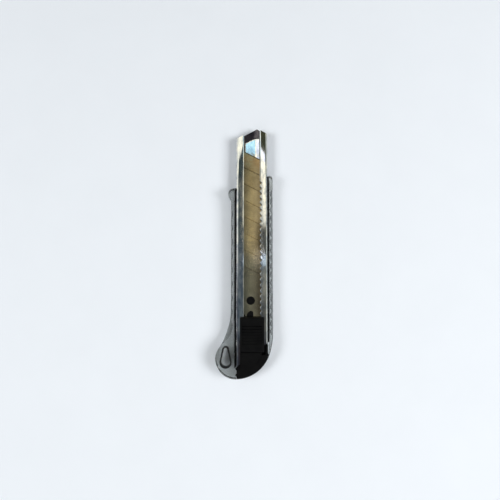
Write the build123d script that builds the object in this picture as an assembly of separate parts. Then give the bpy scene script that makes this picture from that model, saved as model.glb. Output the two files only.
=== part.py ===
from build123d import *

import os
from math import cos, radians, sin, tan

# Large snap-off knife: a clear moulded handle round a folded steel channel, with an 18 mm blade that
# slides in the channel on a carrier and is held by a spring tooth in the ratchet of one folded lip.
#
# Millimetres. X = 0 is the centre line of the channel, Y = 0 the middle of the overall length, with +Y
# towards the blade tip, and Z = 0 the flat underside. Each part is moved sideways by ORIGIN_X as it is
# written, which puts the origin under the centre of the whole knife.

# --- driving dimensions ---------------------------------------------------------------------------

LENGTH = 150.6
NOSE_Y, TAIL_Y = LENGTH / 2, -LENGTH / 2

BLADE_WIDTH, BLADE_LENGTH, BLADE_THICK = 18.0, 100.0, 0.5
BLADE_TIP_Y = 63.45
BLADE_Z = 4.5
SEGMENT, SCORES = 10.0, 7
SLANT = 27.0
SCORE_WIDTH, SCORE_DEPTH = 0.42, 0.2
EDGE_BEVEL, FRONT_BEVEL = 1.6, 0.35
BLADE_HOLE = (-0.66, -29.35)
BLADE_HOLE_D, PEG_D = 5.0, 4.6

SHEET = 0.5
CHANNEL_WIDTH, CHANNEL_HEIGHT = 19.2, 4.2
CHANNEL_Z = 2.4
BEND = 1.8
LIP_LEFT_X, LIP_RIGHT_X = -4.75, 4.9
NOSE_X, NOSE_LEFT_Y, NOSE_RIGHT_Y = 3.2, 68.5, 71.6
NOSE_ROUND = 0.9
FLAP_SLOPE = 14.0
FLAP_CORNER = (2.15, 69.75)
CHANNEL_END_LEFT_Y, CHANNEL_END_RIGHT_Y = -68.3, -53.95

TOOTH_PITCH = SEGMENT / 3
TOOTH_COUNT = 29
TOOTH_FIRST_Y = 41.35
TOOTH_DEPTH, TOOTH_WIDTH = 0.85, 2.2
REST_TOOTH = 26

WALL_LEFT_X, WALL_RIGHT_X = -12.3, 12.5
WALL_TOP_Z = 7.6
WALL_FRONT_LEFT_Y, WALL_FRONT_RIGHT_Y = 38.2, 45.6
POCKET_HALF, POCKET_Z = 10.3, 1.9
MOUTH_BEVEL = 0.35
FOOT_ROUND, HANDLE_ROUND, CAP_ROUND = 0.5, 0.3, 1.4
LINER_THICK, LINER_TOP_Z, LINER_SLACK = 0.6, 6.1, 0.05
GUARD_X, GUARD_Y, GUARD_END_Y = -14.15, 34.55, 29.0
TAIL_CENTRE_X = -9.3
POMMEL_R, CAP_R = 12.25, 20.55
WALL_TAIL_Y, WALL_TIP_Y = -48.75, -63.0
WALL_BEND_R, WALL_BEND = 37.3, -20.8
FLANK_FOOT_Y = -28.75
FLANK = [(-19.7, -57.75), (-17.6, -54.5), (-14.4, -46.2)]
RIGHT_SCALLOPS, RIGHT_PITCH, RIGHT_FIRST_Y = 18, 4.82, 34.5
LEFT_SCALLOPS, LEFT_PITCH, LEFT_FIRST_Y = 9, 8.3, 22.0
LANYARD_BIG, LANYARD_BIG_R = (-15.45, -65.4), 3.0
LANYARD_SMALL, LANYARD_SMALL_R = (-15.5, -57.95), 1.4
LANYARD_RIM = 0.4
POST_R, POST_YS = 1.5, (28.0, -18.0)

KNOB_LEFT_X, KNOB_RIGHT_X = -7.0, 7.3
KNOB_FRONT_Y, KNOB_REAR_Y = -38.85, -59.45
KNOB_Z = 6.9
GROOVES, GROOVE_PITCH, GROOVE_R, GROOVE_LIFT, HOLLOW_CURVE = 7, 1.7, 0.55, 0.18, 0.018
KNOB_TRAVEL, LOCK_TRAVEL = 1.5, 0.9

CAP_SIDE_X = -8.9
CAP_TOP_Z, PLATEAU_TOP_Z = 7.9, 8.9
PLATEAU_FRONT_Y, PLATEAU_REAR_Y, PLATEAU_INSET = -59.75, -69.65, 4.5
ARM_X, ARM_OUT_X, ARM_FRONT_Y = 8.1, 9.35, -54.9
PLUG_FRONT_Y, PLUG_REAR_Y = -61.05, -65.95
BUMP_SIZE, BUMP_THICK = 1.0, 0.35
BUMPS = [(CAP_SIDE_X, -69.05, -1), (CAP_SIDE_X, -72.65, -1), (ARM_OUT_X, -60.9, 1)]
GAP = 0.3

# --- values worked out from them ------------------------------------------------------------------

CHANNEL_TOP = CHANNEL_Z + CHANNEL_HEIGHT
FLOOR_TOP = CHANNEL_Z + SHEET
LIP_UNDER = CHANNEL_TOP - SHEET
CHANNEL_HALF = CHANNEL_WIDTH / 2
BLADE_HALF = BLADE_WIDTH / 2
BLADE_TOP = BLADE_Z + BLADE_THICK
SLOPE = tan(radians(SLANT))
BLADE_TAIL_Y = BLADE_TIP_Y - BLADE_LENGTH
ORIGIN_X = -(TAIL_CENTRE_X - POMMEL_R + WALL_RIGHT_X) / 2
END_SLOPE = (CHANNEL_END_RIGHT_Y - CHANNEL_END_LEFT_Y) / CHANNEL_WIDTH
TALL = 30.0


def block(x0, x1, y0, y1, z0, z1):
    """Box between two corners."""
    return Pos((x0 + x1) / 2, (y0 + y1) / 2, (z0 + z1) / 2) * Box(x1 - x0, y1 - y0, z1 - z0)


def prism(points, z0, z1):
    """Upright prism on a plan polygon."""
    return Pos(0, 0, z0) * extrude(make_face(Polyline(*points, close=True)), z1 - z0)


def channel_end_y(x):
    """Where the slanted rear end of the channel lies at x."""
    return CHANNEL_END_LEFT_Y + (x + CHANNEL_HALF) * END_SLOPE


# --- blade ----------------------------------------------------------------------------------------


def make_blade():
    """One strip with slanted ends, score lines on top, a ground cutting edge and a peg hole."""
    drop = BLADE_WIDTH * SLOPE
    left, right = -BLADE_HALF, BLADE_HALF
    plan = [
        (left, BLADE_TIP_Y),
        (right, BLADE_TIP_Y - drop),
        (right, BLADE_TAIL_Y - drop),
        (left, BLADE_TAIL_Y),
    ]
    blade = prism(plan, BLADE_Z, BLADE_TOP)
    blade -= Pos(*BLADE_HOLE, BLADE_Z) * Cylinder(BLADE_HOLE_D / 2, TALL)

    middle = BLADE_Z + BLADE_THICK / 2
    for flat, edge in ((BLADE_Z, middle - 0.02), (BLADE_TOP, middle + 0.02)):
        bevel = Polyline(
            (left - 1, flat), (left + EDGE_BEVEL, flat), (left, edge), (left - 1, edge), close=True
        )
        blade -= extrude(Plane.XZ * make_face(bevel), BLADE_LENGTH, both=True)

    front = Polyline((-FRONT_BEVEL, 0.01), (0.1, 0.01), (0.1, -FRONT_BEVEL), close=True)
    cutter = extrude(Plane.YZ * make_face(front), BLADE_WIDTH, both=True)
    blade -= Pos(0, BLADE_TIP_Y - drop / 2, BLADE_TOP) * Rot(0, 0, -SLANT) * cutter

    groove = Polyline(
        (0, -SCORE_DEPTH), (SCORE_WIDTH / 2, 0.05), (-SCORE_WIDTH / 2, 0.05), close=True
    )
    cutter = extrude(Plane.YZ * make_face(groove), BLADE_WIDTH, both=True)
    for count in range(SCORES):
        middle_y = BLADE_TIP_Y - drop / 2 - (count + 1) * SEGMENT
        blade -= Pos(0, middle_y, BLADE_TOP) * Rot(0, 0, -SLANT) * cutter
    return blade


# --- channel --------------------------------------------------------------------------------------


def channel_outline():
    """Plan shape of the channel: pointed nose, slanted rear end."""
    return [
        (-CHANNEL_HALF, NOSE_LEFT_Y),
        (NOSE_X, NOSE_Y),
        (CHANNEL_HALF, NOSE_RIGHT_Y),
        (CHANNEL_HALF, CHANNEL_END_RIGHT_Y),
        (-CHANNEL_HALF, CHANNEL_END_LEFT_Y),
    ]


def ramp(hinge, turn):
    """Everything under a plane that rises from a hinge line on the channel's floor."""
    size, behind_hinge = 40.0, 0.6
    under = Pos(0, size / 2 - behind_hinge, -size / 2) * Box(2 * size, size, size)
    return Pos(*hinge, FLOOR_TOP) * Rot(0, 0, turn) * Rot(FLAP_SLOPE, 0, 0) * under


def make_channel():
    """Folded sheet: floor, two walls and two lips, with a turned-up nose flap and a ratchet."""
    outer = RectangleRounded(CHANNEL_WIDTH, CHANNEL_HEIGHT, BEND)
    inner = RectangleRounded(CHANNEL_WIDTH - 2 * SHEET, CHANNEL_HEIGHT - 2 * SHEET, BEND - SHEET)
    section = Plane.XZ * (outer - inner)
    tube = Pos(0, 0, CHANNEL_Z + CHANNEL_HEIGHT / 2) * extrude(section, LENGTH, both=True)
    tube -= block(LIP_LEFT_X, LIP_RIGHT_X, -LENGTH, LENGTH, LIP_UNDER - 0.1, TALL)

    hinge_slope = (NOSE_Y - NOSE_LEFT_Y) / (NOSE_X + CHANNEL_HALF)
    hinge_left_y = FLAP_CORNER[1] - (FLAP_CORNER[0] + CHANNEL_HALF) * hinge_slope
    ahead = [
        (-CHANNEL_HALF + SHEET, hinge_left_y + SHEET * hinge_slope),
        FLAP_CORNER,
        (CHANNEL_HALF - SHEET, FLAP_CORNER[1]),
        (CHANNEL_HALF - SHEET, LENGTH),
        (-CHANNEL_HALF + SHEET, LENGTH),
    ]
    front = prism(ahead, CHANNEL_Z - 1, FLOOR_TOP + 2)
    turn = Vector(1, hinge_slope, 0).get_angle(Vector(1, 0, 0))
    raised = ramp(FLAP_CORNER, turn) + ramp(FLAP_CORNER, 0)
    flap = raised - Pos(0, 0, -SHEET) * raised
    within = block(
        -CHANNEL_HALF + SHEET / 2, CHANNEL_HALF - SHEET / 2, 55, LENGTH, CHANNEL_Z - 0.2, LIP_UNDER
    )
    tube = tube - (front & block(-20, 20, 0, LENGTH, 0, FLOOR_TOP + 0.01)) + (flap & within)

    plan = make_face(Polyline(*channel_outline(), close=True))
    corners = plan.vertices().sort_by(Axis.Y)[-3:]
    plan = fillet(corners, NOSE_ROUND)
    channel = tube & extrude(plan, TALL)

    half = TOOTH_WIDTH / 2
    root = TOOTH_DEPTH - 0.1
    notch = [(-1, -half), (0, -half), (root, -0.35), (root, 0.35), (0, half), (-1, half)]
    cutter = prism(notch, LIP_UNDER - 0.1, CHANNEL_TOP + 0.1)
    for count in range(TOOTH_COUNT):
        channel -= Pos(LIP_RIGHT_X + 0.1, TOOTH_FIRST_Y - count * TOOTH_PITCH) * cutter
    for y in POST_YS:
        channel -= Pos(0, y, CHANNEL_Z) * Cylinder(POST_R, 2)
    return channel


# --- handle ---------------------------------------------------------------------------------------


def tail_point(radius, degrees):
    """Point on one of the two round stretches of the tail, which share their lowest point."""
    angle = radians(degrees)
    return TAIL_CENTRE_X + radius * cos(angle), TAIL_Y + radius + radius * sin(angle)


def handle_outline():
    """Plan outline of handle and cap together."""
    start = (WALL_RIGHT_X, WALL_TAIL_Y)
    lowest = (TAIL_CENTRE_X, TAIL_Y)
    pommel_side = (TAIL_CENTRE_X - POMMEL_R, TAIL_Y + POMMEL_R)
    guard_tip = (GUARD_X, GUARD_Y)
    guard_end = (WALL_LEFT_X, GUARD_END_Y)
    front_left = (-POCKET_HALF + 0.2, WALL_FRONT_LEFT_Y)
    wall_foot = (WALL_LEFT_X, FLANK_FOOT_Y)
    line = JernArc(start, (0, -1), WALL_BEND_R, WALL_BEND)
    cap_arc = ThreePointArc(line @ 1, tail_point(CAP_R, -50), lowest)
    pommel_arc = ThreePointArc(lowest, tail_point(POMMEL_R, -135), pommel_side)
    flank = Spline(pommel_side, *FLANK, wall_foot, tangents=((0, 1), (0, 1)))
    side = Line(wall_foot, guard_end)
    guard_back = Spline(guard_end, guard_tip, tangents=((0, 1), (0, 1)))
    guard_front = Spline(guard_tip, front_left, tangents=((0, 1), (1, 0.15)))
    front = Line(front_left, (POCKET_HALF, WALL_FRONT_RIGHT_Y))
    corner = Spline(
        (POCKET_HALF, WALL_FRONT_RIGHT_Y), (WALL_RIGHT_X, WALL_FRONT_RIGHT_Y - 2.4),
        tangents=((1, 0), (0, -1)),
    )
    wall = Line((WALL_RIGHT_X, WALL_FRONT_RIGHT_Y - 2.4), start)
    return make_face(
        [line, cap_arc, pommel_arc, flank, side, guard_back, guard_front, front, corner, wall]
    )


def lanyard_hole(grow):
    """Teardrop through the pommel: two circles joined by their common tangents."""
    big = Pos(*LANYARD_BIG) * Circle(LANYARD_BIG_R + grow)
    small = Pos(*LANYARD_SMALL) * Circle(LANYARD_SMALL_R + grow)
    return make_hull((big + small).edges())


def scallop(side, radius, depth, y):
    """Cylinder that hollows the upper outer edge of a wall; side is 1 on the right, -1 on the left."""
    wall_x = WALL_RIGHT_X if side > 0 else WALL_LEFT_X
    out = (radius - depth) * sin(radians(45))
    return Pos(wall_x + side * out, y, WALL_TOP_Z + out) * Rot(0, side * 135, 0) * Cylinder(radius, 8)


def cap_plan():
    """Plan polygon that takes in the cap: behind the channel's slanted end, right of the pommel."""
    return [
        (CAP_SIDE_X, channel_end_y(CAP_SIDE_X) - GAP),
        (ARM_OUT_X, channel_end_y(ARM_OUT_X) - GAP),
        (ARM_OUT_X, WALL_TIP_Y - GAP / 2),
        (LENGTH / 4, WALL_TIP_Y - GAP / 2),
        (LENGTH / 4, -LENGTH),
        (CAP_SIDE_X, -LENGTH),
    ]


def make_handle(outline):
    """Clear moulding: floor, two walls, finger guard and pommel, open where the channel and cap go."""
    handle = extrude(outline, WALL_TOP_Z)
    handle = fillet(handle.edges().group_by(Axis.Z)[0], FOOT_ROUND)
    handle = fillet(handle.edges().group_by(Axis.Z)[-1], HANDLE_ROUND)

    pocket_rear = [
        (-POCKET_HALF, channel_end_y(-POCKET_HALF)),
        (POCKET_HALF, channel_end_y(POCKET_HALF)),
        (POCKET_HALF, LENGTH),
        (-POCKET_HALF, LENGTH),
    ]
    handle -= prism(pocket_rear, POCKET_Z, TALL)
    half, low = POCKET_HALF, WALL_TOP_Z - MOUTH_BEVEL
    mouth = Polyline(
        (-half, low), (half, low), (half + 1, low + 1), (-half - 1, low + 1), close=True
    )
    handle -= Pos(0, -60, 0) * extrude(Plane.XZ * make_face(mouth), -LENGTH)
    left, right = CAP_SIDE_X - GAP / 2, ARM_OUT_X + GAP / 2
    behind = [
        (left, channel_end_y(left)),
        (right, channel_end_y(right)),
        (right, WALL_TIP_Y),
        (LENGTH / 4, WALL_TIP_Y),
        (LENGTH / 4, -LENGTH),
        (left, -LENGTH),
    ]
    handle -= prism(behind, -1, TALL)

    for count in range(RIGHT_SCALLOPS):
        handle -= scallop(1, 4.3, 1.25, RIGHT_FIRST_Y - count * RIGHT_PITCH)
    for count in range(LEFT_SCALLOPS):
        handle -= scallop(-1, 14.0, 0.65, LEFT_FIRST_Y - count * LEFT_PITCH)

    handle -= Pos(0, 0, -1) * extrude(lanyard_hole(0), TALL)
    for z, inward in ((0, LANYARD_RIM), (WALL_TOP_Z, -LANYARD_RIM)):
        mouth = [Pos(0, 0, z) * lanyard_hole(LANYARD_RIM), Pos(0, 0, z + inward) * lanyard_hole(0)]
        handle -= loft(mouth)
    for y in POST_YS:
        handle += Pos(0, y, (POCKET_Z + FLOOR_TOP) / 2) * Cylinder(POST_R, FLOOR_TOP - POCKET_Z)
    return handle


# --- liner ----------------------------------------------------------------------------------------


def make_liner():
    """Black U-shaped bed between the clear handle and the steel channel."""
    half = POCKET_HALF - LINER_SLACK
    plan = [
        (-half, channel_end_y(-half)),
        (half, channel_end_y(half)),
        (half, WALL_FRONT_RIGHT_Y),
        (-half, WALL_FRONT_LEFT_Y),
    ]
    inner = half - LINER_THICK
    liner = prism(plan, POCKET_Z, LINER_TOP_Z)
    liner -= block(-inner, inner, -LENGTH, LENGTH, CHANNEL_Z, TALL)
    for y in POST_YS:
        liner -= Pos(0, y, POCKET_Z) * Cylinder(POST_R, 2)
    return liner


# --- cap ------------------------------------------------------------------------------------------


def make_cap(outline):
    """Black end cap: rounded tail body, plug inside the channel, raised plateau behind the knob."""
    body = extrude(outline, CAP_TOP_Z)
    body = fillet(body.edges().group_by(Axis.Z)[0], FOOT_ROUND)
    body = fillet(body.edges().group_by(Axis.Z)[-1], CAP_ROUND)
    cap = body & prism(cap_plan(), -1, TALL)

    cap -= block(-1, ARM_X, PLUG_FRONT_Y, 0, FLOOR_TOP, TALL)
    cap -= block(ARM_X - 0.1, POCKET_HALF, ARM_FRONT_Y, 0, FLOOR_TOP, TALL)
    cap += block(-ARM_X, ARM_X, PLUG_REAR_Y, PLUG_FRONT_Y, FLOOR_TOP + 0.1, LIP_UNDER - 0.1)

    plateau = block(
        KNOB_LEFT_X, KNOB_RIGHT_X, PLATEAU_REAR_Y, PLATEAU_FRONT_Y, CHANNEL_TOP + GAP, PLATEAU_TOP_Z
    )
    inside = extrude(offset(outline, -PLATEAU_INSET), TALL)
    cap += plateau & inside
    for x, y, side in BUMPS:
        root = x - side * 0.1
        bump = [(root, y - BUMP_SIZE), (root, y + BUMP_SIZE), (root + side * BUMP_SIZE, y)]
        cap += prism(bump, WALL_TOP_Z + 0.05, WALL_TOP_Z + 0.05 + BUMP_THICK)
    return cap


# --- carrier, lock and knob -----------------------------------------------------------------------

CARRIER_Z, TONGUE_TOP = FLOOR_TOP + 0.15, BLADE_Z - 0.05
TONGUE_HALF, TONGUE_FRONT_Y, TONGUE_ROUND = 8.2, -25.5, 2.5
RISER_HALF, RISER_FRONT_Y, STEM_HALF, STEM_FRONT_Y, STEM_REAR_Y = 8.0, -46.5, 6.2, -52.0, -59.2
CLAMP_HALF, CLAMP_FRONT_Y = 4.6, KNOB_FRONT_Y - 0.4
CLAMP_Z, CLAMP_TOP = BLADE_TOP + 0.05, LIP_UNDER - 0.15
HOOK = [(-3.2, -40), (-3.0, -37.6), (-2.1, -36.1), (-0.9, -35.4), (0.2, -35.5), (0.9, -36.3), (1, -40)]
FOOT_LEFT_X, FOOT_RIGHT_X = -3.4, 2.8
FOOT_FRONT_Y, FOOT_REAR_Y, FOOT_Z = -49.8, -58.2, 4.5
LOCK_Y = TOOTH_FIRST_Y - REST_TOOTH * TOOTH_PITCH
LOCK_X = (4.1, 4.5)
PIN_Y, PIN_R = LOCK_Y - 4.0, 0.5


def make_carrier():
    """Black slide under the blade: tongue with peg, riser behind the blade, clamp over its tail."""
    half = TONGUE_HALF
    tongue = block(-half, half, STEM_FRONT_Y, TONGUE_FRONT_Y, CARRIER_Z, TONGUE_TOP)
    tongue = fillet(tongue.edges().filter_by(Axis.Z).group_by(Axis.Y)[-1], TONGUE_ROUND)
    peg = Pos(*BLADE_HOLE, TONGUE_TOP) * Cylinder(
        PEG_D / 2, BLADE_TOP + 0.35 - TONGUE_TOP, align=(Align.CENTER, Align.CENTER, Align.MIN)
    )
    peg = chamfer(peg.edges().group_by(Axis.Z)[-1], 0.2)
    riser = block(-RISER_HALF, RISER_HALF, STEM_FRONT_Y, RISER_FRONT_Y, CARRIER_Z, CLAMP_TOP)
    stem = block(-STEM_HALF, STEM_HALF, STEM_REAR_Y, STEM_FRONT_Y, CARRIER_Z, CLAMP_TOP)
    half = CLAMP_HALF
    clamp = block(-half, half, RISER_FRONT_Y - 1, CLAMP_FRONT_Y, CLAMP_Z, CLAMP_TOP)
    clamp += prism(HOOK, CLAMP_Z, CLAMP_TOP)
    corner = [(-half, CLAMP_FRONT_Y - 0.2), (-half, CLAMP_FRONT_Y + 2.2), (-3.1, CLAMP_FRONT_Y - 0.2)]
    clamp += prism(corner, CLAMP_Z, CLAMP_TOP - 0.2)
    carrier = tongue + peg + riser + stem + clamp
    carrier -= block(
        FOOT_LEFT_X - 0.2, FOOT_RIGHT_X + 0.2, FOOT_REAR_Y - GAP, FOOT_FRONT_Y + KNOB_TRAVEL + GAP,
        FOOT_Z - 0.1, TALL,
    )
    return carrier


def make_lock():
    """Steel leaf on edge, with a tooth in the ratchet and a pin up into the knob's cam slot."""
    z0, z1 = LIP_UNDER - 0.05, CHANNEL_TOP + 0.2
    x0, x1 = LOCK_X
    leaf = block(x0, x1, LOCK_Y - 6, LOCK_Y + 5, z0, z1)
    tip = LIP_RIGHT_X + TOOTH_DEPTH - 0.1
    tooth = [
        (x1 - 0.1, LOCK_Y - 0.8),
        (tip, LOCK_Y - 0.25),
        (tip, LOCK_Y + 0.25),
        (x1 - 0.1, LOCK_Y + 0.8),
    ]
    leaf += prism(tooth, z0, z1)
    pin_x = (x0 + x1) / 2
    leaf += Pos(pin_x, PIN_Y, z1 - 0.1) * Cylinder(
        PIN_R, 1.0, align=(Align.CENTER, Align.CENTER, Align.MIN)
    )
    return leaf


def make_knob():
    """Thumb knob: ribbed hollow top, foot down between the lips, cam slot underneath for the lock."""
    front, rear = KNOB_FRONT_Y, KNOB_REAR_Y
    top_front, hollow, top_rear = (front - 3.0, 11.2), ((front + rear) / 2, 9.9), (rear + 3.2, 10.5)
    outline = [
        Line((rear, KNOB_Z), (front, KNOB_Z)),
        Line((front, KNOB_Z), (front, 8.6)),
        Spline((front, 8.6), top_front, tangents=((-0.1, 1), (-1, 0))),
        Spline(top_front, hollow, top_rear, tangents=((-1, 0), (-1, 0))),
        Spline(top_rear, (rear, PLATEAU_TOP_Z), tangents=((-1, 0), (-0.3, -1))),
        Line((rear, PLATEAU_TOP_Z), (rear, KNOB_Z)),
    ]
    side = Plane.YZ * make_face(outline)
    width = KNOB_RIGHT_X - KNOB_LEFT_X
    knob = Pos(KNOB_LEFT_X, 0, 0) * extrude(side, width)
    rims = knob.edges().filter_by(lambda edge: edge.center().Z > KNOB_Z + 0.1).group_by(Axis.X)
    knob = fillet(rims[0] + rims[-1], 0.5)
    for count in range(GROOVES):
        away = (count - (GROOVES - 1) / 2) * GROOVE_PITCH
        z = hollow[1] + GROOVE_LIFT + HOLLOW_CURVE * away**2
        knob -= Pos(0, hollow[0] + away, z) * Rot(0, 90, 0) * Cylinder(GROOVE_R, width - 2.4)
    knob += block(FOOT_LEFT_X, FOOT_RIGHT_X, FOOT_REAR_Y, FOOT_FRONT_Y, FOOT_Z, KNOB_Z + 0.1)

    pin = ((LOCK_X[0] + LOCK_X[1]) / 2, PIN_Y)
    far = (pin[0] - LOCK_TRAVEL, pin[1] - KNOB_TRAVEL)
    ends = [Pos(*point) * Circle(PIN_R + 0.15) for point in (pin, far)]
    knob -= Pos(0, 0, KNOB_Z - 0.1) * extrude(make_hull((ends[0] + ends[1]).edges()), 1.1)
    return knob


def main():
    outline = handle_outline()
    parts = {
        "handle": make_handle(outline),
        "channel_liner": make_liner(),
        "blade_channel": make_channel(),
        "blade": make_blade(),
        "blade_carrier": make_carrier(),
        "lock_spring": make_lock(),
        "slider_knob": make_knob(),
        "end_cap": make_cap(outline),
    }
    os.makedirs("parts", exist_ok=True)
    for name, part in parts.items():
        export_step(Pos(ORIGIN_X, 0, 0) * part, f"parts/{name}.step")


main()
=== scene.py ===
from math import asin, cos, degrees, radians, sin, tan

import bmesh
import bpy
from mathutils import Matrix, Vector


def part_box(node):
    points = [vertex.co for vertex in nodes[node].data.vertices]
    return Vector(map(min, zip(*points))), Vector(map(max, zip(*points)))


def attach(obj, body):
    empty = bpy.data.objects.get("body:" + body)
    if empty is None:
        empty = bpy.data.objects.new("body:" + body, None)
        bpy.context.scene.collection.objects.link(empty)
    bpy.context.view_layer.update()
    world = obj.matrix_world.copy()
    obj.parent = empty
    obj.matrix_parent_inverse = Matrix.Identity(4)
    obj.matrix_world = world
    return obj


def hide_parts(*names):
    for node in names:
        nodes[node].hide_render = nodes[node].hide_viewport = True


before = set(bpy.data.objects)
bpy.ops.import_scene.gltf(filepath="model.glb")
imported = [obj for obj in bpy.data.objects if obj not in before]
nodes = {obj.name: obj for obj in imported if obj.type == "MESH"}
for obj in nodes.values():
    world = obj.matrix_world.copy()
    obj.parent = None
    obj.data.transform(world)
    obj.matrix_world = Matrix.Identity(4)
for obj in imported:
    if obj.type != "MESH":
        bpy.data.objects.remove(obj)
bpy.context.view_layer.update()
MM = 0.001
FLOOR_GAP = 0.05 * MM


def origin_x():
    """Where the channel's centre line lies in the frame, in metres."""
    low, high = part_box("blade_channel")
    return (low.x + high.x) / 2


# --- camera -----------------------------------------------------------------------------------------

LOOK_AT = Vector((3.45, 1.27, 0)) * MM
DISTANCE = 305.5 * MM
TILT = radians(4.147)


def add_camera():
    """Phone camera held over the knife, leaning a little back from the vertical."""
    data = bpy.data.cameras.new("camera")
    data.lens, data.sensor_width = 36, 36
    data.clip_start, data.clip_end = 0.01, 50
    camera = bpy.data.objects.new("camera", data)
    camera.location = LOOK_AT + Vector((0, -sin(TILT), cos(TILT))) * DISTANCE
    camera.rotation_euler = (TILT, 0, 0)
    bpy.context.scene.collection.objects.link(camera)
    bpy.context.scene.camera = camera


# --- node helpers -----------------------------------------------------------------------------------

# Sockets of a Mix node that mixes colours.
MIX_UNDER, MIX_OVER, MIX_RESULT = 6, 7, 2


def new_material(name):
    """Empty node material with its output and a Principled shader."""
    material = bpy.data.materials.new(name)
    material.use_nodes = True
    return material, material.node_tree, material.node_tree.nodes["Principled BSDF"]


def noise(tree, scale, detail=3.0, stretch=(1, 1, 1), roughness=0.55):
    """Noise in object coordinates, stretched along the axes; returns its factor socket."""
    coords = tree.nodes.new("ShaderNodeTexCoord")
    mapping = tree.nodes.new("ShaderNodeMapping")
    mapping.inputs["Scale"].default_value = stretch
    tree.links.new(coords.outputs["Object"], mapping.inputs["Vector"])
    texture = tree.nodes.new("ShaderNodeTexNoise")
    texture.inputs["Scale"].default_value = scale
    texture.inputs["Detail"].default_value = detail
    texture.inputs["Roughness"].default_value = roughness
    tree.links.new(mapping.outputs["Vector"], texture.inputs["Vector"])
    return texture.outputs["Fac"]


def ramp(tree, factor, stops):
    """Colour ramp over a factor; stops are (position, colour) or (position, grey)."""
    node = tree.nodes.new("ShaderNodeValToRGB")
    elements = node.color_ramp.elements
    while len(elements) < len(stops):
        elements.new(0.5)
    for element, (position, colour) in zip(elements, stops):
        element.position = position
        shade = colour if isinstance(colour, tuple) else (colour,) * 3
        element.color = (*shade, 1)
    tree.links.new(factor, node.inputs["Fac"])
    return node.outputs["Color"]


def bump(tree, height, strength, distance):
    """Bump from a height socket; distance in metres."""
    node = tree.nodes.new("ShaderNodeBump")
    node.inputs["Strength"].default_value = strength
    node.inputs["Distance"].default_value = distance
    tree.links.new(height, node.inputs["Height"])
    return node.outputs["Normal"]


def maths(tree, operation, first, second):
    """Math node on two sockets or numbers."""
    node = tree.nodes.new("ShaderNodeMath")
    node.operation = operation
    for socket, value in zip(node.inputs, (first, second)):
        if isinstance(value, (int, float)):
            socket.default_value = value
        else:
            tree.links.new(value, socket)
    return node.outputs["Value"]


def window(tree, value, low, high, soft):
    """1 where a socket's value is between two limits, with soft edges."""
    edges = []
    for limit, sign in ((low, 1), (high, -1)):
        node = tree.nodes.new("ShaderNodeMapRange")
        node.interpolation_type = "SMOOTHSTEP"
        node.inputs["From Min"].default_value = limit - sign * soft
        node.inputs["From Max"].default_value = limit + sign * soft
        tree.links.new(value, node.inputs["Value"])
        edges.append(node.outputs["Result"])
    return maths(tree, "MULTIPLY", *edges)


def blend_colour(tree, factor, under, over):
    """Mix from one colour to another; each is a socket or a tuple."""
    node = tree.nodes.new("ShaderNodeMix")
    node.data_type = "RGBA"
    tree.links.new(factor, node.inputs["Factor"])
    for socket, colour in ((node.inputs[MIX_UNDER], under), (node.inputs[MIX_OVER], over)):
        if isinstance(colour, tuple):
            socket.default_value = (*colour, 1)
        else:
            tree.links.new(colour, socket)
    return node.outputs[MIX_RESULT]


# --- materials --------------------------------------------------------------------------------------

# How much the clear plastic swallows, per metre.
SMOKE_DENSITY = 100.0
# Half the width of blade between the lips, and how far forward its stain starts.
BLADE_SEEN = 6.2 * MM
RUST_FROM, RUST_BLUR = 53 * MM, 6 * MM
# How far the blade's bands of painted lip shade wander sideways.
SHADE_BAND_WANDER = 3.2 * MM


def smoke_plastic():
    """Clear smoke-grey moulding, darker where it is thicker, with flow marks and painted shade on its
    slopes and rounded edges.

    Lamps shine through it, so it casts a pale shadow.
    """
    material, tree, shader = new_material("smoke_plastic")
    coords = tree.nodes.new("ShaderNodeTexCoord")
    facing = tree.nodes.new("ShaderNodeSeparateXYZ")
    tree.links.new(coords.outputs["Normal"], facing.inputs["Vector"])
    upright = maths(tree, "ABSOLUTE", facing.outputs["Z"], 0)
    # Faces that are neither level nor upright get a dark grey: painted shade that draws dark outlines along
    # the plastic's rounded edges.
    clear, painted_edge_shade = (0.97, 0.98, 0.97), (0.45, 0.46, 0.46)
    stops = [(0.02, clear), (0.15, painted_edge_shade), (0.85, painted_edge_shade), (0.98, clear)]
    tree.links.new(ramp(tree, upright, stops), shader.inputs["Base Color"])
    shader.inputs["Transmission Weight"].default_value = 1.0
    shader.inputs["IOR"].default_value = 1.5
    rough = ramp(tree, noise(tree, 220), [(0.3, 0.02), (0.7, 0.05)])
    tree.links.new(rough, shader.inputs["Roughness"])
    tree.links.new(bump(tree, noise(tree, 90), 0.10, 0.0002), shader.inputs["Normal"])
    passing = tree.nodes.new("ShaderNodeBsdfTransparent")
    passing.inputs["Color"].default_value = (0.40, 0.405, 0.405, 1)
    path = tree.nodes.new("ShaderNodeLightPath")
    mix = tree.nodes.new("ShaderNodeMixShader")
    tree.links.new(path.outputs["Is Shadow Ray"], mix.inputs[0])
    tree.links.new(shader.outputs["BSDF"], mix.inputs[1])
    tree.links.new(passing.outputs["BSDF"], mix.inputs[2])
    output = tree.nodes["Material Output"]
    tree.links.new(mix.outputs["Shader"], output.inputs["Surface"])
    smoke = tree.nodes.new("ShaderNodeVolumeAbsorption")
    smoke.inputs["Color"].default_value = (0.45, 0.465, 0.465, 1)
    smoke.inputs["Density"].default_value = SMOKE_DENSITY
    tree.links.new(smoke.outputs["Volume"], output.inputs["Volume"])
    return material


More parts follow.
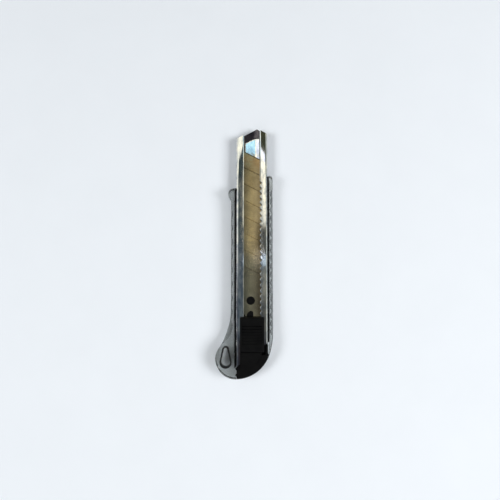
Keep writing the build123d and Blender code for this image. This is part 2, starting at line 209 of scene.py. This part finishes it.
def polished_steel():
    """Stainless sheet with a worn polish, cloudy patches and lengthwise drawing marks."""
    material, tree, shader = new_material("polished_steel")
    colour = ramp(tree, noise(tree, 420, 6, (1, 0.45, 1)), [
        (0.36, (0.47, 0.50, 0.54)),
        (0.5, (0.69, 0.70, 0.71)),
        (0.64, (0.88, 0.86, 0.81)),
    ])
    tree.links.new(colour, shader.inputs["Base Color"])
    shader.inputs["Metallic"].default_value = 1.0
    rough = ramp(tree, noise(tree, 300, 4, (1, 0.3, 1)), [(0.3, 0.02), (0.75, 0.07)])
    tree.links.new(rough, shader.inputs["Roughness"])
    drawn = bump(tree, noise(tree, 650, 4, (1, 0.5, 1)), 0.16, 0.00004)
    tree.links.new(drawn, shader.inputs["Normal"])
    return material


def blade_steel():
    """Ground carbon steel: a golden lacquered finish with painted shade from the lips darkening it towards
    both edges, oil blotches and a stained front.
    """
    material, tree, shader = new_material("blade_steel")
    coords = tree.nodes.new("ShaderNodeTexCoord")
    split = tree.nodes.new("ShaderNodeSeparateXYZ")
    tree.links.new(coords.outputs["Object"], split.inputs["Vector"])
    wander = maths(tree, "MULTIPLY", maths(tree, "SUBTRACT", noise(tree, 110, 4), 0.5), SHADE_BAND_WANDER)
    across = tree.nodes.new("ShaderNodeMapRange")
    across.inputs["From Min"].default_value = origin_x() - BLADE_SEEN
    across.inputs["From Max"].default_value = origin_x() + BLADE_SEEN
    tree.links.new(maths(tree, "ADD", split.outputs["X"], wander), across.inputs["Value"])
    # Golden lacquered tone in the middle, with painted shade from the lips on both sides of the blade seen
    # between them.
    lacquer_and_lip_shade = ramp(tree, across.outputs["Result"], [
        (0.0, (0.38, 0.345, 0.24)),
        (0.18, (0.42, 0.365, 0.235)),
        (0.45, (0.54, 0.455, 0.27)),
        (0.72, (0.48, 0.40, 0.25)),
        (0.86, (0.32, 0.26, 0.165)),
        (1.0, (0.38, 0.31, 0.20)),
    ])
    oil = ramp(tree, noise(tree, 150, 5), [(0.35, 0.72), (0.65, 1.0)])
    patchy = ramp(tree, noise(tree, 200, 4), [(0.36, 0.0), (0.60, 1.0)])
    forward = window(tree, split.outputs["Y"], RUST_FROM, 1.0, RUST_BLUR)
    front = maths(tree, "MULTIPLY", patchy, forward)
    stained = blend_colour(tree, front, lacquer_and_lip_shade, (0.46, 0.29, 0.14))
    shade = tree.nodes.new("ShaderNodeMix")
    shade.data_type, shade.blend_type = "RGBA", "MULTIPLY"
    shade.inputs["Factor"].default_value = 1.0
    tree.links.new(stained, shade.inputs[MIX_UNDER])
    tree.links.new(oil, shade.inputs[MIX_OVER])
    tree.links.new(shade.outputs[MIX_RESULT], shader.inputs["Base Color"])
    shader.inputs["Metallic"].default_value = 1.0
    rough = ramp(tree, noise(tree, 400, 4, (0.4, 1, 1)), [(0.3, 0.06), (0.7, 0.11)])
    tree.links.new(rough, shader.inputs["Roughness"])
    tree.links.new(bump(tree, noise(tree, 2500, 2, (0.1, 1, 1)), 0.08, 0.00003), shader.inputs["Normal"])
    return material


def broken_steel_and_shade():
    """Grainy face left where a segment was snapped off, coloured near-black so that it also paints the
    shade along the blade's front edge.
    """
    material, tree, shader = new_material("broken_steel_and_shade")
    grain = ramp(tree, noise(tree, 3000, 3), [(0.35, (0.006, 0.008, 0.007)), (0.7, (0.03, 0.035, 0.03))])
    tree.links.new(grain, shader.inputs["Base Color"])
    shader.inputs["Metallic"].default_value = 0.6
    shader.inputs["Roughness"].default_value = 0.55
    tree.links.new(bump(tree, noise(tree, 2600, 3), 0.4, 0.00008), shader.inputs["Normal"])
    return material


def spring_steel():
    """Dull blued spring steel."""
    material, tree, shader = new_material("spring_steel")
    colour = ramp(tree, noise(tree, 400), [(0.3, (0.30, 0.31, 0.34)), (0.7, (0.42, 0.42, 0.43))])
    tree.links.new(colour, shader.inputs["Base Color"])
    shader.inputs["Metallic"].default_value = 1.0
    shader.inputs["Roughness"].default_value = 0.35
    return material


def black_plastic(name, level, rough_low, rough_high):
    """Moulded black plastic with a fine spark-eroded texture."""
    material, tree, shader = new_material(name)
    dark = (level * 0.8, level * 0.8, level * 0.85)
    light = (level * 1.3, level * 1.3, level * 1.3)
    tree.links.new(ramp(tree, noise(tree, 260), [(0.3, dark), (0.7, light)]), shader.inputs["Base Color"])
    rough = ramp(tree, noise(tree, 1200), [(0.3, rough_low), (0.7, rough_high)])
    tree.links.new(rough, shader.inputs["Roughness"])
    shader.inputs["Specular IOR Level"].default_value = 0.06
    tree.links.new(bump(tree, noise(tree, 4000, 2), 0.10, 0.00003), shader.inputs["Normal"])
    return material


def paper():
    """Pale, even, matt surface for the floor."""
    material, tree, shader = new_material("paper")
    colour = ramp(tree, noise(tree, 30), [(0.3, (0.835, 0.868, 0.905)), (0.7, (0.85, 0.883, 0.92))])
    tree.links.new(colour, shader.inputs["Base Color"])
    shader.inputs["Roughness"].default_value = 0.9
    return material


# --- studio -----------------------------------------------------------------------------------------

FLOOR_HALF = 3.0


def add_floor():
    """Square floor just under the knife."""
    mesh = bpy.data.meshes.new("floor")
    half, z = FLOOR_HALF, -FLOOR_GAP
    corners = [(-half, -half, z), (half, -half, z), (half, half, z), (-half, half, z)]
    mesh.from_pydata(corners, [], [(0, 1, 2, 3)])
    mesh.materials.append(paper())
    floor = bpy.data.objects.new("floor", mesh)
    bpy.context.scene.collection.objects.link(floor)


# The room without what hangs overhead, as height of the view direction and colour.
ROOM = [
    (0.0, (0.36, 0.375, 0.39)),
    (0.45, (0.42, 0.435, 0.45)),
    (0.93, (0.50, 0.515, 0.53)),
    (1.0, (0.50, 0.52, 0.54)),
]
# What hangs overhead, as slopes from the vertical along X and Y, softness of the edges, and colour.
# Later ones lie over earlier ones.
OVERHEAD = [
    ((-4.0, -0.13), (0.09, 4.0), 0.010, (0.90, 0.92, 0.86)),
    ((-0.55, -0.13), (0.25, 2.0), 0.010, (1.30, 1.28, 1.08)),
    ((-1.0, -0.13), (-4.0, 0.02), 0.040, (0.055, 0.060, 0.080)),
    ((-0.13, 0.32), (-0.60, 0.60), 0.012, (0.105, 0.130, 0.148)),
    ((-0.13, -0.006), (0.085, 0.30), 0.030, (0.058, 0.078, 0.078)),
    ((0.32, 4.0), (-0.40, 4.0), 0.020, (0.62, 0.66, 0.60)),
    ((0.018, 0.13), (-0.10, 0.124), 0.004, (0.110, 0.110, 0.096)),
    ((0.018, 0.13), (-0.020, 0.032), 0.008, (0.24, 0.24, 0.205)),
    ((-0.006, 0.0135), (-0.10, 0.064), 0.002, (0.30, 0.34, 0.40)),
    ((-0.006, 0.0135), (0.064, 0.50), 0.003, (0.98, 0.90, 0.72)),
    ((-0.006, 0.0135), (0.135, 0.50), 0.020, (0.60, 0.55, 0.44)),
    ((-0.006, 0.0135), (0.205, 0.50), 0.020, (0.34, 0.29, 0.21)),
    ((0.13, 0.32), (-0.02, 0.60), 0.010, (0.06, 0.065, 0.04)),
    ((0.021, 0.125), (0.124, 0.50), 0.009, (1.42, 1.36, 1.12)),
    ((0.021, 0.30), (0.040, 0.062), 0.003, (0.66, 0.78, 0.86)),
    ((-0.05, 0.022), (0.268, 0.50), 0.003, (0.66, 1.10, 1.32)),
    ((-0.10, 0.50), (-0.60, -0.10), 0.020, (0.032, 0.029, 0.034)),
    ((-0.10, 0.50), (-0.192, -0.165), 0.006, (0.150, 0.138, 0.145)),
    ((0.085, 0.125), (0.268, 0.50), 0.006, (1.20, 1.26, 1.45)),
]
# A small lamp near the camera that glints on the inner edge of the toothed lip, in the same form.
LAMP = ((0.0150, 0.0200), (0.051, 0.068), 0.001, (5.0, 5.0, 5.5))
# How much of the room's brightness falls on matt faces.
AMBIENT_SHARE = 0.20
LIGHT_COLOUR = (0.975, 0.985, 1.0)
# Name, place, width and power of each soft box.
SOFTBOXES = [
    ("right_softbox", (0.95, -0.15, 0.85), 0.64, 13.2),
    ("left_softbox", (-0.85, -0.10, 0.88), 0.52, 7.5),
    ("far_softbox", (0.1, 1.0, 0.9), 0.9, 0.3),
    ("near_softbox", (0.0, -0.7, 0.6), 0.7, 1.4),
]


def add_world():
    """Grey room with patches overhead for the steel to mirror; it lights matt faces less."""
    world = bpy.data.worlds.new("room")
    bpy.context.scene.world = world
    world.use_nodes = True
    tree = world.node_tree
    coords = tree.nodes.new("ShaderNodeTexCoord")
    split = tree.nodes.new("ShaderNodeSeparateXYZ")
    tree.links.new(coords.outputs["Generated"], split.inputs["Vector"])
    across = maths(tree, "DIVIDE", split.outputs["X"], split.outputs["Z"])
    along = maths(tree, "DIVIDE", split.outputs["Y"], split.outputs["Z"])
    above = maths(tree, "GREATER_THAN", split.outputs["Z"], 0.0)
    colour = ramp(tree, split.outputs["Z"], ROOM)
    path = tree.nodes.new("ShaderNodeLightPath")
    crisp = maths(tree, "SUBTRACT", above, path.outputs["Is Diffuse Ray"])
    for patch in OVERHEAD + [LAMP]:
        x_limits, y_limits, soft, light = patch
        inside_x = window(tree, across, *x_limits, soft)
        inside = maths(tree, "MULTIPLY", inside_x, window(tree, along, *y_limits, soft))
        seen = crisp if patch is LAMP else above
        colour = blend_colour(tree, maths(tree, "MULTIPLY", inside, seen), colour, light)
    background = tree.nodes["Background"]
    tree.links.new(colour, background.inputs["Color"])
    dimmed = maths(tree, "MULTIPLY", path.outputs["Is Diffuse Ray"], AMBIENT_SHARE - 1)
    tree.links.new(maths(tree, "ADD", dimmed, 1.0), background.inputs["Strength"])
    world.cycles.sampling_method = "NONE"


def add_lights():
    """Soft boxes aimed at the knife; they show neither to the camera nor in the polished steel."""
    for name, location, width, power in SOFTBOXES:
        data = bpy.data.lights.new(name, "AREA")
        data.shape, data.size, data.size_y = "RECTANGLE", width, width
        data.energy, data.color = power, LIGHT_COLOUR
        light = bpy.data.objects.new(name, data)
        light.location = location
        light.rotation_euler = (-Vector(location)).to_track_quat("-Z", "Y").to_euler()
        light.visible_camera = False
        light.visible_glossy = False
        bpy.context.scene.collection.objects.link(light)


# --- channel ----------------------------------------------------------------------------------------

# Millimetres from here on, with X from the channel's centre line.
SHEET = 0.5
CHANNEL_HALF, CHANNEL_Z = 9.6, 2.4
BEND_LEFT, BEND_RIGHT, BEND_LOW = 1.45, 1.2, 1.8
LIP_LEFT, LIP_RIGHT, LIP_WIDTH = -4.75, 4.9, 3.0
LIP_ROLL = 0.22
NOSE_X, NOSE_Y, NOSE_LEFT_Y, NOSE_RIGHT_Y = 3.2, 75.17, 68.45, 71.55
END_LEFT_Y, END_RIGHT_Y = -68.3, -53.95
STRAIGHT_REAR_Y, STRAIGHT_FRONT_Y = -53.5, 45.0
TOOTH_PITCH, TOOTH_COUNT, TOOTH_FIRST_Y = 10 / 3, 29, 41.35
TOOTH_DEPTH, TOOTH_HALF, ROOT_HALF = 0.85, 1.1, 0.35

# The nose flap: the corner of its hinge, its slope, and how far the hinge's two lines blend.
FLAP_CORNER, FLAP_SLOPE, FLAP_BLEND = (2.15, 69.75), tan(radians(14)), 1.4
# The pressed floor ahead of the blade: where it starts, its crease and its left edge, and its slopes.
PRESS_FROM_Y, PRESS_EASE = 55.0, 3
CREASE_X, PRESS_LEFT_X = 2.5, -3.9
PRESS_RIGHT_SLOPE, PRESS_LEFT_SLOPE = 0.045, 0.14
# Where the flap and the pressing have died out towards the bends, and over what width.
FLAT_X, FLAT_EASE = 8.4, 1.2
# Tilt of each lip towards its wall, in radians per millimetre beyond DROOP_FROM_Y, and how much of it is
# there at the lip's inner edge, against what each lip width further out adds.
DROOP_FROM_Y, DROOP_EASE = 44.0, 4
DROOP_LEFT, DROOP_RIGHT = (0.00326, 0.836), (0.00064, 4.9)

BEND_STEPS, LIP_STEPS, ROLL_STEPS = 8, 8, 10
# Points across the floor: up to the pressed edge, the crease, the nose and the right bend.
FLOOR_STEPS = (10, 14, 2, 12)
REAR_ROWS, FRONT_ROWS = 10, 72
# Slack for telling the floor's points from the rest.
NEAR = 0.01


def clamp(value):
    """The value, held between 0 and 1."""
    return min(max(value, 0), 1)


def join_rings(mesh, rings):
    """Faces between each closed ring of points and the next."""
    for near, far in zip(rings, rings[1:]):
        for i in range(len(near)):
            j = (i + 1) % len(near)
            mesh.faces.new((near[i], near[j], far[j], far[i]))


def arc(centre, radius, start, end, steps):
    """Points of an arc in the section plane, angles in degrees."""
    span = [start + (end - start) * i / steps for i in range(steps + 1)]
    return [(centre[0] + radius * cos(radians(a)), centre[1] + radius * sin(radians(a))) for a in span]


def spread(start, end, count):
    """Evenly spaced values from start up to, but without, end."""
    return [start + (end - start) * i / count for i in range(count)]


def floor_columns():
    """Where the floor has points across: at the pressed edge, the crease and the nose, and between."""
    stops = (BEND_LOW - CHANNEL_HALF, PRESS_LEFT_X, CREASE_X, NOSE_X, CHANNEL_HALF - BEND_LOW)
    columns = []
    for start, end, count in zip(stops, stops[1:], FLOOR_STEPS):
        columns += spread(start, end, count)
    return columns[1:]


def sheet_section(right_edge, top):
    """Closed section of the folded sheet, before the nose bends it.

    It comes as outer loop, right lip's rolled edge, inner loop and left lip's rolled edge.
    """
    loops = []
    left, right, low = CHANNEL_HALF - BEND_LEFT, CHANNEL_HALF - BEND_RIGHT, CHANNEL_HALF - BEND_LOW
    for inset in (0, SHEET):
        loop = [(x, top - inset) for x in spread(LIP_LEFT - LIP_ROLL, -left, LIP_STEPS)]
        loop += arc((-left, top - BEND_LEFT), BEND_LEFT - inset, 90, 180, BEND_STEPS)
        loop += arc((-low, CHANNEL_Z + BEND_LOW), BEND_LOW - inset, 180, 270, BEND_STEPS)
        loop += [(x, CHANNEL_Z + inset) for x in floor_columns()]
        loop += arc((low, CHANNEL_Z + BEND_LOW), BEND_LOW - inset, -90, 0, BEND_STEPS)
        loop += arc((right, top - BEND_RIGHT), BEND_RIGHT - inset, 0, 90, BEND_STEPS)
        loop += [(x, top - inset) for x in spread(right_edge + LIP_ROLL, right, LIP_STEPS)[::-1]]
        loops.append(loop)
    middle = top - SHEET / 2
    half_round = arc((0, 0), SHEET / 2, 90, -90, ROLL_STEPS)[1:-1]
    roll = [(LIP_ROLL * x / (SHEET / 2), z) for x, z in half_round]
    right_roll = [(right_edge + LIP_ROLL - x, middle + z) for x, z in roll]
    left_roll = [(LIP_LEFT - LIP_ROLL + x, middle + z) for x, z in reversed(roll)]
    return loops[0], right_roll, loops[1][::-1], left_roll


def right_lip_edge(y):
    """Where the toothed lip ends at y."""
    offset = (y - TOOTH_FIRST_Y) / TOOTH_PITCH
    nearest = max(min(round(offset), 0), 1 - TOOTH_COUNT)
    away = abs(offset - nearest) * TOOTH_PITCH
    return LIP_RIGHT + clamp((TOOTH_HALF - away) / (TOOTH_HALF - ROOT_HALF)) * TOOTH_DEPTH


def nose_y(x):
    """Front end of the sheet at x."""
    if x < NOSE_X:
        return NOSE_Y - (NOSE_X - x) * (NOSE_Y - NOSE_LEFT_Y) / (NOSE_X + CHANNEL_HALF)
    return NOSE_Y - (x - NOSE_X) * (NOSE_Y - NOSE_RIGHT_Y) / (CHANNEL_HALF - NOSE_X)


def end_y(x):
    """Slanted rear end of the sheet at x."""
    return END_LEFT_Y + (x + CHANNEL_HALF) * (END_RIGHT_Y - END_LEFT_Y) / (2 * CHANNEL_HALF)


def floor_rise(x, y):
    """How far the nose flap has risen over the flat floor at (x, y)."""
    hinge = (NOSE_Y - NOSE_LEFT_Y) / (NOSE_X + CHANNEL_HALF)
    square = (1 + hinge * hinge) ** 0.5
    slanted = (y - FLAP_CORNER[1] - (x - FLAP_CORNER[0]) * hinge) / square
    straight = y - FLAP_CORNER[1]
    near = max(1 - abs(slanted - straight) / FLAP_BLEND, 0)
    rise = max(max(slanted, straight) + near * near * FLAP_BLEND / 4, 0) * FLAP_SLOPE
    return rise * clamp((FLAT_X - abs(x)) / FLAT_EASE)


def floor_press(x, y):
    """Shallow pressing of the floor ahead of the blade: level in the middle, falling to both sides."""
    share = clamp((y - PRESS_FROM_Y) / PRESS_EASE)
    fall = PRESS_RIGHT_SLOPE * max(x - CREASE_X, 0) + PRESS_LEFT_SLOPE * max(PRESS_LEFT_X - x, 0)
    return -share * fall * clamp((FLAT_X - abs(x)) / FLAT_EASE)


def lip_droop(x, y):
    """How far the lips fall away towards the walls as they near the nose."""
    tilt, inner = DROOP_LEFT if x < 0 else DROOP_RIGHT
    beyond = max(y - DROOP_FROM_Y, 0)
    out = max(abs(x) + LIP_LEFT, 0) / LIP_WIDTH
    bent = tilt * beyond * beyond / (beyond + DROOP_EASE)
    return bent * LIP_WIDTH * out * (inner + out / 2)


def rows():
    """Rows of points along the sheet, as (start, share, end line).

    Each row lies at start, moved towards the end line by share of the way.
    """
    result = [(STRAIGHT_REAR_Y, 1 - share, end_y) for share in spread(0, 1, REAR_ROWS)]
    ys = {STRAIGHT_REAR_Y, STRAIGHT_FRONT_Y}
    for count in range(TOOTH_COUNT):
        middle = TOOTH_FIRST_Y - count * TOOTH_PITCH
        ys.update(middle + away for away in (-TOOTH_HALF, -ROOT_HALF, 0, ROOT_HALF, TOOTH_HALF))
    result += [(y, 0, end_y) for y in sorted(ys)]
    return result + [(STRAIGHT_FRONT_Y, share, nose_y) for share in spread(0, 1, FRONT_ROWS)[1:] + [1]]


def make_channel(material):
    """The folded sheet as one closed mesh: rings of points along it, and its two cut ends."""
    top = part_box("blade_channel")[1].z / MM
    centre = origin_x()
    mesh = bmesh.new()
    rings = []
    for start, share, line in rows():
        outer, right_roll, inner, left_roll = sheet_section(right_lip_edge(start), top)
        ring = []
        for x, z in outer + right_roll + inner + left_roll:
            y = start + share * (line(x) - start)
            if z < CHANNEL_Z + SHEET + NEAR and abs(x) < CHANNEL_HALF - BEND_LOW:
                z += floor_rise(x, y) + floor_press(x, y)
            elif z > (CHANNEL_Z + top) / 2:
                z -= lip_droop(x, y)
            ring.append(mesh.verts.new((centre + x * MM, y * MM, z * MM)))
        rings.append(ring)
    join_rings(mesh, rings)
    count, roll = len(outer), len(right_roll)
    for ring in (rings[0], rings[-1]):
        outside, inside = ring[:count], ring[count + roll:2 * count + roll][::-1]
        for i in range(count - 1):
            mesh.faces.new((outside[i], outside[i + 1], inside[i + 1], inside[i]))
        mesh.faces.new(ring[count - 1:count + roll + 1])
        mesh.faces.new(ring[2 * count + roll - 1:] + ring[:1])
    bmesh.ops.recalc_face_normals(mesh, faces=mesh.faces)
    return finish_mesh(mesh, "channel_sheet", material, "root", "blade_channel")


# Edges that turn by more than this stay sharp.
SHARP = radians(32)


def finish_mesh(mesh, name, material, body, node):
    """Turn a bmesh into a piece that rides on a body and may stand for a CAD node."""
    data = bpy.data.meshes.new(name)
    mesh.to_mesh(data)
    mesh.free()
    data.materials.append(material)
    for polygon in data.polygons:
        polygon.use_smooth = True
    piece = bpy.data.objects.new(name, data)
    bpy.context.scene.collection.objects.link(piece)
    split = piece.modifiers.new("sharp", "EDGE_SPLIT")
    split.split_angle = SHARP
    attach(piece, body)
    if node:
        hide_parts(node)
    return piece


# --- blade ------------------------------------------------------------------------------------------

BLADE_SLOPE = tan(radians(27))
BREAK_DEPTH, BREAK_STEPS = 0.75, 36
# Share of the blade's width left free at each side, and how ragged the broken edge is.
BREAK_MARGIN, RAGGED_COARSE, RAGGED_FINE = 0.006, 0.10, 0.08


def make_broken_edge(material):
    """Rough lip along the blade's front end, where the last segment was snapped off; its near-black colour
    paints the shade under that edge.
    """
    low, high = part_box("blade")
    top = (high.z - low.z) / MM
    profile = [
        (0.03, 0.06),
        (0.03, top - 0.12),
        (0.15, top - 0.02),
        (BREAK_DEPTH, top + 0.015),
        (BREAK_DEPTH, top - 0.06),
    ]
    mesh = bmesh.new()
    rings = []
    for step in range(BREAK_STEPS + 1):
        share = BREAK_MARGIN + (1 - 2 * BREAK_MARGIN) * step / BREAK_STEPS
        x = low.x + (high.x - low.x) * share
        front = high.y - (x - low.x) * BLADE_SLOPE
        ragged = 1 + RAGGED_COARSE * sin(2.9 * step) + RAGGED_FINE * sin(7.3 * step + 1)
        ring = []
        for back, z in profile:
            ring.append(mesh.verts.new((x, front - back * ragged * MM, low.z + z * MM)))
        rings.append(ring)
    join_rings(mesh, rings)
    mesh.faces.new(rings[0])
    mesh.faces.new(rings[-1])
    bmesh.ops.recalc_face_normals(mesh, faces=mesh.faces)
    return finish_mesh(mesh, "broken_edge", material, "carriage", None)


# --- lanyard rim, painted shade in the hole ---------------------------------------------------------

LANYARD_BIG, LANYARD_BIG_R = (-15.45, -65.4), 3.0
LANYARD_SMALL, LANYARD_SMALL_R = (-15.5, -57.95), 1.4
# How far down the dark collar reaches, shading the inside of the hole, and how finely its outline is
# divided.
RIM_REACH, RIM_STEPS = 5.6, 28


def teardrop(grow):
    """Closed plan outline of the lanyard hole, grown outwards: two arcs joined by their common tangents."""
    rise = LANYARD_SMALL[1] - LANYARD_BIG[1]
    lean = degrees(asin((LANYARD_BIG_R - LANYARD_SMALL_R) / rise))
    big = arc(LANYARD_BIG, LANYARD_BIG_R + grow, 180 - lean, 360 + lean, RIM_STEPS)
    small = arc(LANYARD_SMALL, LANYARD_SMALL_R + grow, lean, 180 - lean, RIM_STEPS // 2)
    return big + small


def make_lanyard_shade_collar(material):
    """Dark rounded collar that lines the lanyard hole and stands a little proud round its mouth: painted
    shade for the dark ring and the dim inside of the hole.
    """
    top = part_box("handle")[1].z / MM
    centre = origin_x()
    section = [
        (-0.34, top - RIM_REACH),
        (-0.45, top - 0.3),
        (-0.30, top + 0.10),
        (0.08, top + 0.24),
        (0.44, top + 0.14),
        (0.60, top),
        (0.60, top - 0.06),
        (0.02, top - 0.5),
        (-0.02, top - RIM_REACH),
    ]
    mesh = bmesh.new()
    rings = []
    for grow, z in section:
        rings.append([mesh.verts.new((centre + x * MM, y * MM, z * MM)) for x, y in teardrop(grow)])
    join_rings(mesh, rings + rings[:1])
    bmesh.ops.recalc_face_normals(mesh, faces=mesh.faces)
    return finish_mesh(mesh, "lanyard_shade_collar", material, "root", None)


# --- knife ------------------------------------------------------------------------------------------

# Points closer than this are one, faces flatter than this are one, and edges sharper than this are rounded.
WELD_GAP = 0.001 * MM
FLAT_ANGLE, ROUNDED_ANGLE = radians(0.5), radians(38)


def dress(node, material, edge=0):
    """Give a CAD node its finish, and round its sharp edges by edge millimetres."""
    piece = nodes[node]
    piece.data.materials[0] = material
    if edge:
        weld = piece.modifiers.new("weld", "WELD")
        weld.merge_threshold = WELD_GAP
        flat = piece.modifiers.new("flat", "DECIMATE")
        flat.decimate_type, flat.angle_limit = "DISSOLVE", FLAT_ANGLE
        bevel = piece.modifiers.new("rounded", "BEVEL")
        bevel.width, bevel.segments = edge * MM, 3
        bevel.limit_method, bevel.angle_limit = "ANGLE", ROUNDED_ANGLE
        bevel.harden_normals = True


def main():
    """Studio, then every piece of the knife."""
    bpy.context.scene.view_settings.view_transform = "Standard"
    add_camera()
    add_floor()
    add_world()
    add_lights()
    dress("handle", smoke_plastic(), 0.25)
    make_channel(polished_steel())
    dress("blade", blade_steel())
    make_broken_edge(broken_steel_and_shade())
    # The dark collar paints the shade of the lanyard hole.
    make_lanyard_shade_collar(black_plastic("lanyard_hole_shade", 0.02, 0.12, 0.2))
    dress("channel_liner", black_plastic("black_liner", 0.004, 0.4, 0.5))
    dress("lock_spring", spring_steel())
    dress("blade_carrier", black_plastic("black_acetal", 0.005, 0.35, 0.5), 0.1)
    shell = black_plastic("black_shell", 0.0045, 0.46, 0.56)
    dress("slider_knob", shell, 0.15)
    dress("end_cap", shell, 0.2)


main()
